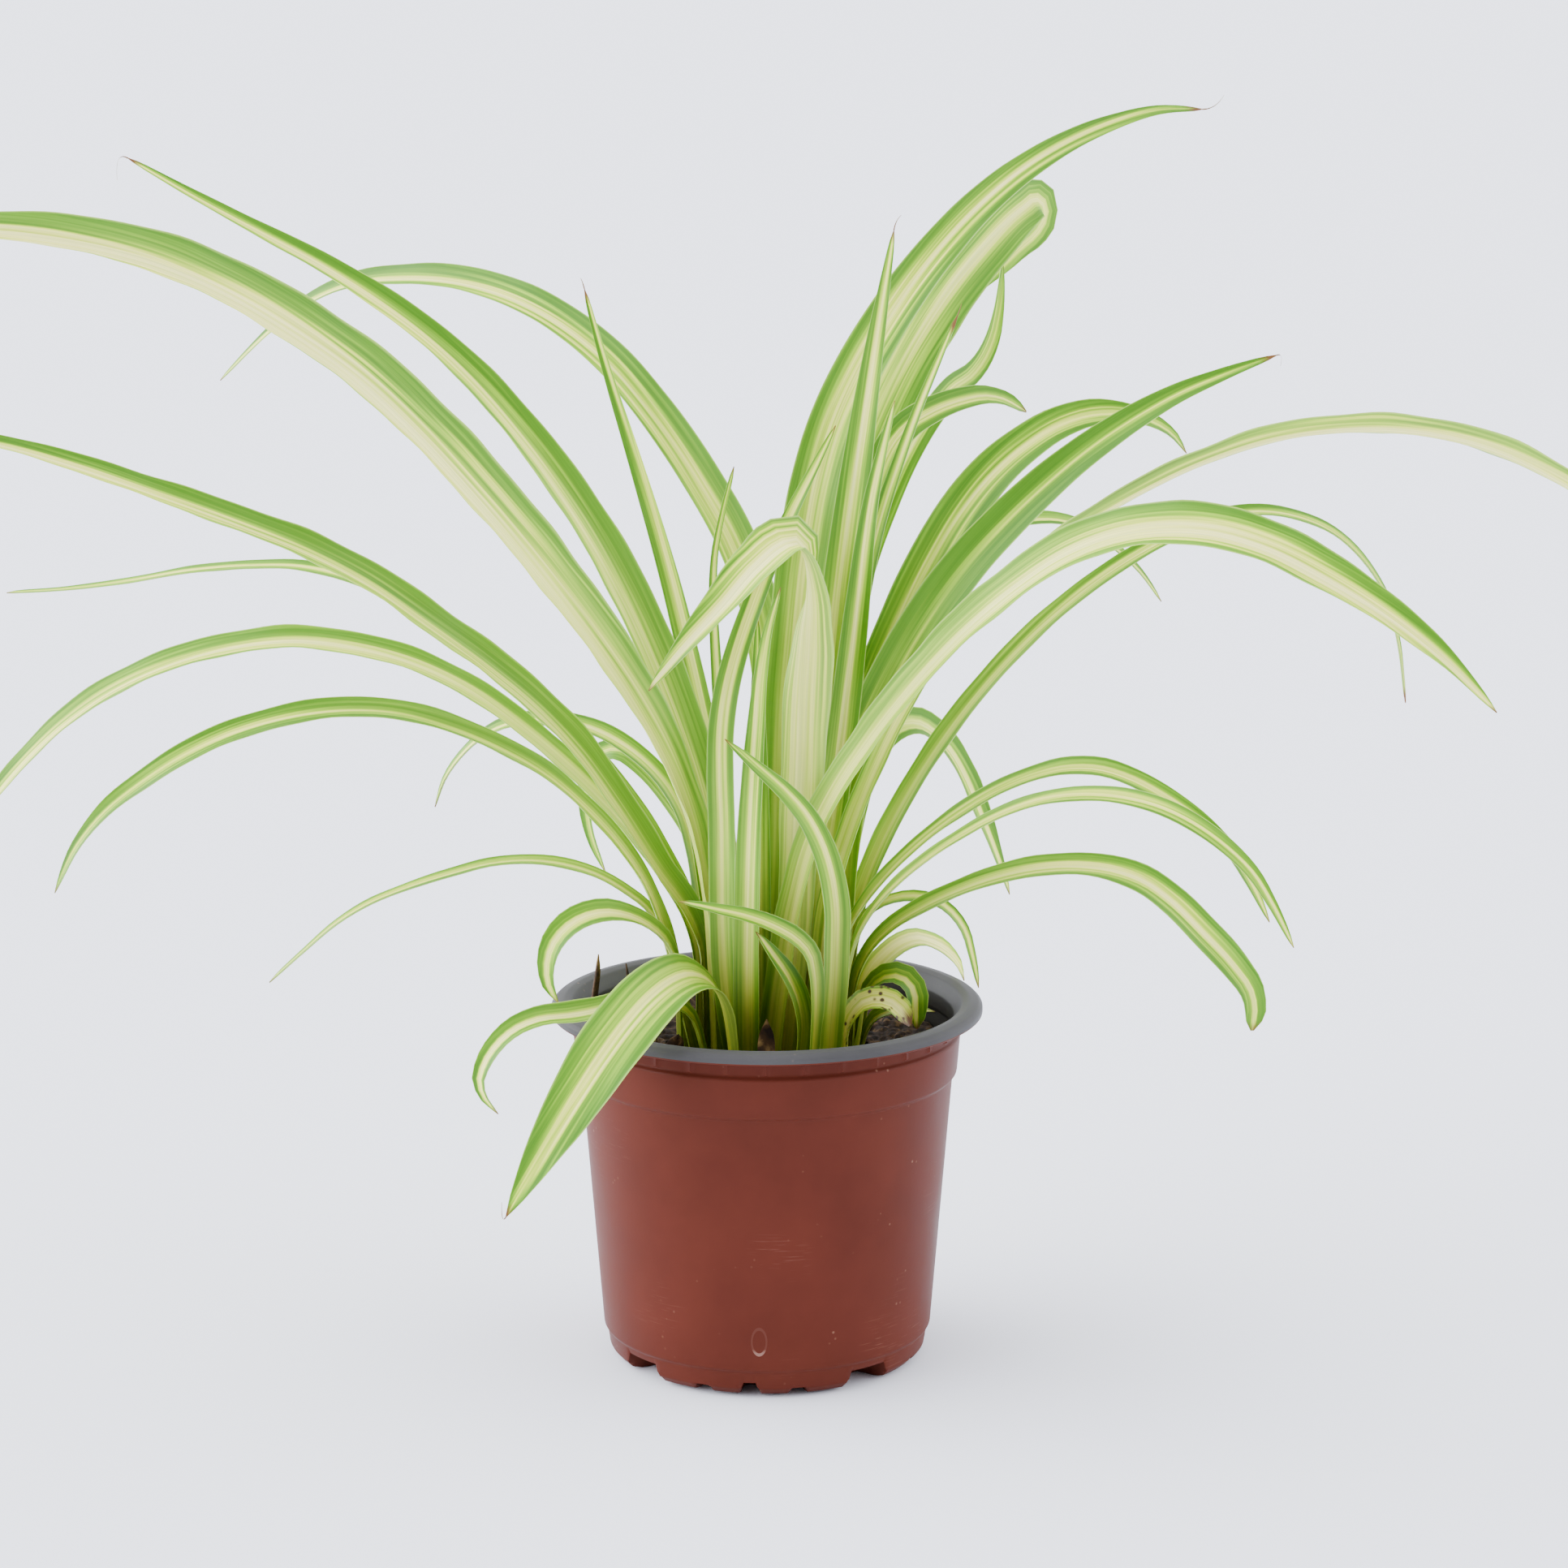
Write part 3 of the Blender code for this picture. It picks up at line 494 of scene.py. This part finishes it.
# stripe: half its share of the width, and shift moves it off the midrib; pale: how pale the underside is;
# dry: withered end in mm; whisker: where its dry thread points, in mm to the right and up; ripple in mm;
# bruise: how dark the scars are; blanch: how much the base keeps of its young colours
leafDefaults = {
    "stripe": 0.31, "shift": 0.0, "pale": 0.22, "dry": 1.5, "ripple": 0.25, "bruise": 0.0, "blanch": 0.92,
}
leafLooks = {
    "leaf_left_giant": {"stripe": 0.75, "shift": -0.36, "pale": 0.1, "ripple": 0.2, "blanch": 1.0},
    "leaf_left_high": {"stripe": 0.34, "shift": -0.38, "dry": 3, "whisker": (-3, -6)},
    "leaf_left_long": {"stripe": 0.4, "shift": -0.42},
    "leaf_left_wide_arch": {"stripe": 0.45, "shift": -0.15},
    "leaf_left_low_arch": {"stripe": 0.22},
    "leaf_back_left_arch": {"stripe": 0.36, "shift": -0.3},
    "leaf_tallest_upright": {"dry": 2, "whisker": (2, 4)},
    "leaf_right_big_arch": {"dry": 4, "whisker": (6, 4)},
    "leaf_left_upright": {"stripe": 0.36, "shift": 0.3, "dry": 3, "whisker": (-1, 3)},
    "leaf_right_thin_upright": {"dry": 4, "whisker": (1, 3)},
    "leaf_right_plain": {"stripe": -0.05, "dry": 4, "whisker": (1, -3)},
    "leaf_right_front_big": {"stripe": 0.5, "shift": 0.16, "pale": 0.1},
    "leaf_right_long_narrow": {"dry": 4},
    "leaf_front_fallen": {"stripe": 0.28, "blanch": 0.5, "dry": 2, "whisker": (-1, 4)},
    "leaf_right_far": {"stripe": 0.5, "pale": 0.1, "blanch": 0.5},
    "leaf_front_folded": {"pale": 0.15, "stripe": 0.6, "blanch": 0.7},
    "leaf_right_pale_hoop": {"stripe": 0.7, "blanch": 0.5},
    "leaf_chewed_stub": {"stripe": 0.7, "dry": 3, "bruise": 1.0, "blanch": 0.5},
}


# stations along the blade in mm, and at each its middle, its half width, the rise of its edges and its face
def traceBlade(node):
    rings = readRings(node)
    middles = rings[:, [1, 4]].mean(1)
    knots = np.concatenate([[0], np.cumsum(np.linalg.norm(np.diff(middles, axis=0), axis=1))]) / mm
    length = knots[-1]
    at = np.linspace(0, length, max(leafShape["fewestStations"], int(length / leafShape["stationStep"])))
    lines = curveThrough(rings, knots, at)
    # upper and lower points lie in pairs
    left, middle, right = [lines[:, pair].mean(1) for pair in ([0, 5], [1, 4], [2, 3])]
    normal = lines[:, 1] - lines[:, 4]
    normal /= np.linalg.norm(normal, axis=1)[:, None]
    ending = np.clip((at - length + leafShape["tipLength"]) / leafShape["tipLength"], 0, 1)
    closing = 1 - (1 - leafShape["tipWidth"]) * ending ** 2
    side = (right - left) / 2 * closing[:, None]
    rise = ((right + left) / 2 - middle) * closing[:, None]
    return {"at": at, "length": length, "middle": middle, "normal": normal, "closing": closing,
            "side": side, "rise": rise, "halfWidth": np.linalg.norm(side, axis=1) / mm}


# each edge ripples on its own, in two mixed waves
def rippleLift(blade, u, ripple, draws):
    phases = draws.uniform(0, 2 * math.pi, (2, 2))
    wave = 2 * math.pi * blade["at"] / leafShape["rippleLength"]
    edges = []
    for (coarse, fine), (coarsePhase, finePhase) in zip(leafShape["rippleWaves"], phases):
        fineWave = leafShape["fineRipple"] * np.sin(fine * wave + finePhase)
        edges.append((np.sin(coarse * wave + coarsePhase) + fineWave)[:, None])
    swing = ripple * smoothstep(blade["at"] / leafShape["rippleStart"])
    swing = swing * np.clip(blade["halfWidth"] / leafShape["rippleWidth"], 0, leafShape["rippleMost"])
    lift = np.where(u[None] < 0, edges[0], edges[1])
    return lift * swing[:, None] * (np.abs(u) ** leafShape["rippleEdge"])[None] * mm


# one loop of points for each station: over the upper face and back under the lower one
def bladeLoops(blade, u, lift):
    bend = np.abs(u) ** leafShape["channel"]
    face = (blade["middle"][:, None] + blade["side"][:, None] * u[None, :, None]
            + blade["rise"][:, None] * bend[None, :, None] + blade["normal"][:, None] * lift[:, :, None])
    thick = leafShape["edgeThickness"] + (leafShape["thickness"] - leafShape["edgeThickness"]) * (1 - u ** 2)
    closing = leafShape["tipThickness"] + (1 - leafShape["tipThickness"]) * blade["closing"]
    skin = blade["normal"][:, None] * (thick[None] * closing[:, None] * mm / 2)[:, :, None]
    loops = np.concatenate([face + skin, (face - skin)[:, ::-1]], 1)
    return np.concatenate([loops[:1] - np.array([0, 0, leafShape["sunkBase"] * mm]), loops])


# what the leaf's material reads at each point
def bladeMarks(blade, u, loops, looks, ownPlace):
    grid = loops.shape[:2]
    along = np.broadcast_to(np.concatenate([[0], blade["at"]])[:, None], grid)
    across = np.broadcast_to(np.concatenate([u, u[::-1]]), grid)
    halfWidth = np.concatenate([blade["halfWidth"][:1], blade["halfWidth"]])[:, None]
    inside = (looks["stripe"] - np.abs(across - looks["shift"])) / leafShape["stripeSoftness"]
    blanchEnd = min(leafShape["blanchEnd"], leafShape["blanchShare"] * blade["length"])
    centres = loops.mean(1) / mm
    # painted shade, strongest near the soil in the middle of the plant
    low = smoothstep(1 - (centres[:, 2] - leafShape["soilLevel"]) / leafShape["shadeHeight"])
    fromAxis = np.hypot(centres[:, 0], centres[:, 1])
    deep = low * smoothstep((leafShape["shadeRadius"] - fromAxis) / leafShape["shadeFade"])
    return {
        "core": (inside + 0.5 - leafTissue["streakiness"] / 2).ravel(),
        "rim": np.abs(across).ravel(),
        "blanch": (looks["blanch"] * smoothstep((blanchEnd - along)
                                                / (leafShape["blanchFade"] * blanchEnd))).ravel(),
        "underPale": (looks["pale"] * np.broadcast_to(np.arange(grid[1]) >= len(u), grid)).ravel(),
        "wither": (looks["dry"] - leafTissue["witherRagged"] / 2 - (blade["length"] - along)).ravel(),
        "depth": np.repeat(leafShape["shadeShare"] * deep, grid[1]),
        "bruise": np.full(grid, looks["bruise"]).ravel(),
        "bladePlace": np.stack([across * halfWidth, along, np.full(grid, ownPlace)], 2).reshape(-1, 3),
    }


# dry thread that ends some blades; lengths in mm
whiskerShape = {
    "sides": 5, "steps": 12, "radius": 0.2, "endRadius": 0.07, "straightShare": 0.6, "wither": 9.0,
}


def whiskerPoints(blade, aim):
    tip, outward = blade["middle"][-1], blade["normal"][-1]
    ahead = tip - blade["middle"][-3]
    ahead /= np.linalg.norm(ahead)
    sideways = np.cross(ahead, outward)
    end = tip + np.array([aim[0], 0, aim[1]]) * mm
    knee = tip + whiskerShape["straightShare"] * np.linalg.norm(end - tip) * ahead
    points = []
    for t in np.linspace(0, 1, whiskerShape["steps"] + 1):
        centre = (1 - t) ** 2 * tip + 2 * t * (1 - t) * knee + t * t * end
        radius = (whiskerShape["radius"] * (1 - t) + whiskerShape["endRadius"] * t) * mm
        for k in range(whiskerShape["sides"]):
            turn = 2 * math.pi * k / whiskerShape["sides"]
            points.append(centre + radius * (math.cos(turn) * outward + math.sin(turn) * sideways))
    return np.array(points)


def buildLeaf(node, seed, material):
    looks = {**leafDefaults, **leafLooks.get(node, {})}
    draws = np.random.default_rng(seed)
    blade = traceBlade(node)
    u = np.sin(np.linspace(-1, 1, leafShape["columns"]) * math.pi / 2)      # across, closer at the edges
    loops = bladeLoops(blade, u, rippleLift(blade, u, looks["ripple"], draws))
    marks = bladeMarks(blade, u, loops, looks, draws.uniform(0, leafTissue["ownRange"]))
    points = loops.reshape(-1, 3)
    faces = tubeFaces(len(loops) - 1, loops.shape[1])
    if "whisker" in looks:
        thread = whiskerPoints(blade, looks["whisker"])
        faces += tubeFaces(whiskerShape["steps"], whiskerShape["sides"], len(points))
        points = np.concatenate([points, thread])
        for key, values in marks.items():
            ofThread = whiskerShape["wither"] if key == "wither" else 0.0      # dry from end to end
            marks[key] = np.concatenate([values, np.full((len(thread),) + values.shape[1:], ofThread)])
    first, *others = node.split("_")
    name = first + "".join(word.capitalize() for word in others)
    return meshPiece(name, points, faces, [material], node, leafShape["sharpAngle"], marks)


# nursery pot: lengths in mm, angles in degrees from the front
potShape = {
    "rimRadius": 60.0, "height": 101.2,
    "lip": (60.0, 98.3),          # where the outer side passes into the inner one
    "sheet": 1.1,                 # thickness of the base
    "columns": 448,               # round the pot
    "cornerRadius": 0.5,          # every fold of the sheet
    "neckRibs": 32,               # stacking ribs in the recess under the rim
    "ribDepth": 0.5, "ribWidth": 1.3,
    "neckFoot": 93.3, "neckTop": 99.0, "neckRadius": 54.2,
    "quarters": 4, "firstNotch": 39.0,
    # notches of a quarter: place, half widths at the foot and at the top, height
    "notches": [(0, 10, 7.5, 5.6), (45, 4.2, 2.2, 4.4), (27.5, 4, 2.4, 2.8), (62.5, 4, 2.4, 2.8)],
    # a notch lifts the foot of the wall, and the base beside it is drawn inwards as it rises
    "footInner": 34.0, "footBend": 41.0, "footCorner": 43.0, "footOuter": 46.0, "footTop": 7.2,
    "footInward": 0.225, "baseLift": 0.86,
    "sharpAngle": 38,
}

# outer side from the middle of the base to the lip, then the inner side back down: (radius, height) in mm
potOutside = [
    (0, 0), (33, 0), (39.6, 0), (42.6, 0.7), (44.4, 2.6), (45.1, 7.4), (46, 8.4),
    (51.8, 80.4), (53, 81.4), (53.9, 92.2), (52.9, 93.1), (52.9, 96.6), (54.3, 99.3), (58.6, 99.4),
    (59, 97.9), (60, 97.9), (60, 99.7),
]
potInside = [
    (58.9, 100.8), (56.4, 101.2), (54.2, 100.6), (51.9, 97), (51.9, 92.6), (52.8, 91.6), (51.9, 82.2),
    (50.7, 81.2), (45, 9), (44.1, 8), (43.4, 3.2), (41.8, 1.7), (39.2, 1.1), (33, 1.1), (0, 1.1),
]


# rounds every corner of an open outline, where its sides are long enough for it
def rounded(outline, radius, steps=3, mostOfSide=0.45):
    outline = [np.array(p, float) for p in outline]
    made = [outline[0]]
    for before, corner, after in zip(outline, outline[1:], outline[2:]):
        toBefore, toAfter = before - corner, after - corner
        beforeLength, afterLength = np.linalg.norm(toBefore), np.linalg.norm(toAfter)
        reach = min(radius, mostOfSide * beforeLength, mostOfSide * afterLength)
        start = corner + toBefore / beforeLength * reach
        end = corner + toAfter / afterLength * reach
        for k in range(steps + 1):
            t = k / steps
            made.append((1 - t) ** 2 * start + 2 * t * (1 - t) * corner + t * t * end)
    return made + [outline[-1]]


# angles round the pot: even steps, and the corners of every notch
def potAngles(notches):
    angles = {round(360 * k / potShape["columns"], 4) for k in range(potShape["columns"])}
    for middle, wide, narrow, tall in notches:
        angles |= {round((middle + edge) % 360, 4) for edge in (-wide, -narrow, narrow, wide)}
    return sorted(angles)


# how high the notches lift the foot of the wall at this angle
def notchLift(angle, notches):
    lift = 0
    for middle, wide, narrow, tall in notches:
        away = abs((angle - middle + 180) % 360 - 180)
        lift = max(lift, tall * min(1, (wide - away) / (wide - narrow)))
    return lift


def ribHeight(angle):
    pitch = 360 / potShape["neckRibs"]
    away = abs((angle + pitch / 2) % pitch - pitch / 2)
    return potShape["ribDepth"] * float(smoothstep(1 - away / potShape["ribWidth"]))


# a point of the outline where a notch lifts the foot to the level top
def liftedFoot(radius, height, lift, top):
    onFoot = potShape["footInner"] < radius < potShape["footOuter"] and height < potShape["footTop"]
    if not onFoot or height >= top:
        return radius, height
    if radius > potShape["footCorner"]:
        return radius, top
    inward = radius - potShape["footInward"] * lift
    if radius > potShape["footBend"]:
        return inward, top
    return inward, height + potShape["baseLift"] * (top - height)


def buildPot(outsideMaterial, insideMaterial):
    low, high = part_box("pot")
    wider = (high.x - low.x) / 2 / potShape["rimRadius"]
    taller = high.z / potShape["height"]
    outline = rounded(potOutside + potInside, potShape["cornerRadius"])
    lipAt = min(range(len(outline)), key=lambda at: np.abs(outline[at] - potShape["lip"]).sum())
    notches = [(potShape["firstNotch"] + 360 / potShape["quarters"] * quarter + place, *size)
               for quarter in range(potShape["quarters"]) for place, *size in potShape["notches"]]
    angles = potAngles(notches)
    points = []
    for angle in angles:
        lift, rib, around = notchLift(angle, notches), ribHeight(angle), math.radians(angle)
        for at, (radius, height) in enumerate(outline):
            top = lift + (potShape["sheet"] if at > lipAt else 0)
            radius, height = liftedFoot(radius, height, lift, top)
            inNeck = potShape["neckFoot"] < height < potShape["neckTop"] and radius < potShape["neckRadius"]
            if at < lipAt and inNeck:
                radius += rib
            points.append((radius * math.sin(around) * wider, -radius * math.cos(around) * wider,
                           height * taller))
    rows = len(outline)
    faces, kinds = [], []
    for at in range(len(angles)):
        after = (at + 1) % len(angles)
        for k in range(rows - 1):
            a, b = at * rows + k, after * rows + k
            faces.append((a, b, b + 1, a + 1))
            kinds.append(0 if k < lipAt else 1)
    made = meshPiece("nurseryPot", points, faces, [outsideMaterial, insideMaterial], "pot",
                     potShape["sharpAngle"])
    made.data.polygons.foreach_set("material_index", kinds)
    return made


# lengths in mm
soilShape = {
    "rings": 96, "columns": 420,
    "ringSpread": 0.8,            # under 1 puts the rings closer together at the rim
    "rimGap": 0.1,
    "edgeDepth": 8.0,             # below the heap's top, where the CAD's flats stop short of the rim
    "crumbs": 2600, "crumbSizes": (0.5, 2.0), "crumbSquash": (0.6, 1.6), "crumbHeights": (0.3, 0.9),
    "settled": 0.5,               # how far the crumbs' ground lies below the CAD surface
    # plain sides, hidden by the pot: share of the rim's radius, and height
    "sides": [(0.985, 80.6), (0.862, 9.6), (0.65, 8.6)], "footShare": 0.62,
    "seed": 4, "sharpAngle": 60,
}


# finds the height of the CAD soil under a point, or nothing outside it
def soilSurface():
    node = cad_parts["soil"].data
    tree = BVHTree.FromPolygons([v.co for v in node.vertices], [tuple(p.vertices) for p in node.polygons])
    above = cadBox[1][2]

    def levelAt(x, y):
        hit = tree.ray_cast(Vector((x, y, above)), Vector((0, 0, -1)))[0]
        return hit.z if hit else None
    return levelAt


# crumbs strewn over the surface: flattened balls at chance places
def crumbHeap(x, y, rim):
    draws = np.random.default_rng(soilShape["seed"])
    heap = np.zeros_like(x)
    for k in range(soilShape["crumbs"]):
        size = draws.uniform(*soilShape["crumbSizes"]) * mm
        far, turn = rim * math.sqrt(draws.uniform()), draws.uniform(0, 2 * math.pi)
        squash = draws.uniform(*soilShape["crumbSquash"])
        dx, dy = x - far * math.cos(turn), y - far * math.sin(turn)
        tilt = draws.uniform(0, math.pi)
        a = dx * math.cos(tilt) + dy * math.sin(tilt)
        b = (dy * math.cos(tilt) - dx * math.sin(tilt)) * squash
        ball = np.sqrt(np.clip(1 - (a * a + b * b) / size ** 2, 0, 1)) * size
        heap = np.maximum(heap, ball * draws.uniform(*soilShape["crumbHeights"]))
    return heap


def buildSoil(material):
    low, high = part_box("soil")
    rim = (high.x - low.x) / 2 - soilShape["rimGap"] * mm
    columns = soilShape["columns"]
    radii = np.linspace(0, 1, soilShape["rings"]) ** soilShape["ringSpread"] * rim
    turns = 2 * math.pi * np.arange(columns) / columns
    x = radii[:, None] * np.cos(turns)[None]
    y = radii[:, None] * np.sin(turns)[None]
    levelAt = soilSurface()
    edgeLevel = high.z - soilShape["edgeDepth"] * mm
    level = np.array([levelAt(a, b) or edgeLevel for a, b in zip(x.ravel(), y.ravel())]).reshape(x.shape)
    top = level + crumbHeap(x, y, rim) - soilShape["settled"] * mm
    rings = [np.stack([x, y, top], 2).reshape(-1, 3)]
    sides = [(share, height * mm) for share, height in soilShape["sides"]] + [(soilShape["footShare"], low.z)]
    for share, height in sides:
        radius = share * rim
        rings.append(np.stack([radius * np.cos(turns), radius * np.sin(turns), np.full(columns, height)], 1))
    points = np.concatenate(rings)
    faces = ringFaces(soilShape["rings"] - 1 + len(sides), columns, leftHanded=True)
    faces.append(tuple(range(len(points) - columns, len(points)))[::-1])
    return meshPiece("peatCompost", points, faces, [material], "soil",
                     soilShape["sharpAngle"])


# knobbly dome; lengths in mm
crownShape = {
    "rows": 30, "columns": 140,
    "topShare": 0.35,             # of the rows, on the flat top
    "roundness": 1.15,            # over 1 brings the dome to its full width above the base
    "fit": 0.99, "settled": 0.4,
    "knob": 0.9, "fineKnob": 0.5, "knobMost": 1.2,
    "sharpAngle": 50,
}


def buildCrown(material):
    low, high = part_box("crown")
    halfX, halfY = crownShape["fit"] * (high.x - low.x) / 2, crownShape["fit"] * (high.y - low.y) / 2
    rows, columns, topShare = crownShape["rows"], crownShape["columns"], crownShape["topShare"]
    points = []
    for row in range(rows + 1):
        t = row / rows
        out = math.sin(min(1, t * crownShape["roundness"]) * math.pi / 2)
        height = high.z - (high.z - low.z) * max(0, t - topShare) / (1 - topShare)
        for k in range(columns):
            turn = 2 * math.pi * k / columns
            # nine lobes round the dome, broken up along it, and finer ones between
            knob = crownShape["knob"] * math.sin(9 * turn + 5 * t) * math.cos(31 * t + 3 * math.sin(3 * turn))
            fineKnob = crownShape["fineKnob"] * math.sin(23 * turn - 14 * t)
            raised = min((knob + fineKnob) * out, crownShape["knobMost"]) - crownShape["settled"]
            points.append((halfX * out * math.cos(turn), halfY * out * math.sin(turn), height + raised * mm))
    faces = ringFaces(rows, columns, leftHanded=True)
    faces.append(tuple(range(rows * columns, (rows + 1) * columns))[::-1])
    return meshPiece("rhizomeCrown", points, faces, [material], "crown",
                     crownShape["sharpAngle"])


buildPot(potMaterial("terracottaPolypropylene", "terracotta", mouldOval),
         potMaterial("greyPolypropylene", "grey", paintInnerShade))
print("pot done")
buildSoil(mottledMaterial("pottingSoil"))
buildCrown(mottledMaterial("rhizome"))
print("soil and crown done")
leafSkin, driedSkin = leafMaterial(), mottledMaterial("driedLeaf")
for seed, node in enumerate(sorted(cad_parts)):
    if node.startswith("leaf_"):
        buildLeaf(node, seed, leafSkin)
    elif node.startswith("dried_"):
        buildLeaf(node, seed, driedSkin)
print("leaves done")

# pale floor, soft light all round but dim behind the camera, bright screens at both sides;
# lengths in metres, the lens in mm, angles in degrees
studio = {
    "floorPaint": {"roughness": 0.8, "ior": 1.45, "specular": 0.1}, "floorColour": "#eceef4",
    "floorReach": 60.0,
    "floorGap": 0.0002,           # keeps the floor clear of the pot's base
    "skyColour": "#f4f6ff", "skyStrength": 2.4,
    # share of each by direction: axis, where it starts and is full, lowest and highest level
    "skyShares": {
        "leftScreen": ("X", -0.3, -0.95, 0, 9.2),
        "rightScreen": ("X", 0.45, 0.95, 0, 4.1),
        "awayFromCamera": ("Y", -0.95, -0.25, 0.25, 1),
        "aboveFloor": ("Z", 0.02, 0.2, 0, 1),
    },
    "cameraPlace": (0.00474, -1.0907, 0.384), "cameraTilt": 11.516,
    "focalLength": 92.89, "sensorWidth": 36,
}


def buildFloor():
    reach = studio["floorReach"]
    mesh = bpy.data.meshes.new("floor")
    mesh.from_pydata([(-reach, -reach, 0), (reach, -reach, 0), (reach, reach, 0), (-reach, reach, 0)], [],
                     [(0, 1, 2, 3)])
    paint, tree, shader = newMaterial("matBackdrop", studio["floorPaint"])
    shader.inputs["Base Color"].default_value = toLinear(studio["floorColour"])
    mesh.materials.append(paint)
    floor = bpy.data.objects.new("floor", mesh)
    floor.location.z = -studio["floorGap"]
    bpy.context.scene.collection.objects.link(floor)


def buildSky():
    world = bpy.data.worlds.new("studio")
    bpy.context.scene.world = world
    world.use_nodes = True
    sky = world.node_tree
    way = addNode(sky, "SeparateXYZ", {"Vector": addNode(sky, "TexCoord").outputs["Generated"]})
    share = {}
    for name, (axis, start, full, lowest, highest) in studio["skyShares"].items():
        share[name] = addNode(sky, "MapRange", {
            "Value": way.outputs[axis], "From Min": start, "From Max": full, "To Min": lowest,
            "To Max": highest}, interpolation_type="SMOOTHSTEP").outputs[0]
    bothScreens = addNode(sky, "Math", {0: share["leftScreen"], 1: share["rightScreen"]},
                          operation="ADD").outputs[0]
    screens = addNode(sky, "Math", {0: bothScreens, 1: share["aboveFloor"]}, operation="MULTIPLY").outputs[0]
    glow = addNode(sky, "Math", {0: share["awayFromCamera"], 1: studio["skyStrength"], 2: screens},
                   operation="MULTIPLY_ADD").outputs[0]
    sky.links.new(glow, sky.nodes["Background"].inputs["Strength"])
    sky.nodes["Background"].inputs["Color"].default_value = toLinear(studio["skyColour"])


def placeCamera():
    optics = bpy.data.cameras.new("camera")
    optics.lens = studio["focalLength"]
    optics.sensor_width = studio["sensorWidth"]
    camera = bpy.data.objects.new("camera", optics)
    camera.location = studio["cameraPlace"]
    camera.rotation_euler = (math.radians(90 - studio["cameraTilt"]), 0, 0)
    bpy.context.scene.collection.objects.link(camera)
    bpy.context.scene.camera = camera


buildFloor()
buildSky()
placeCamera()
print("studio done")
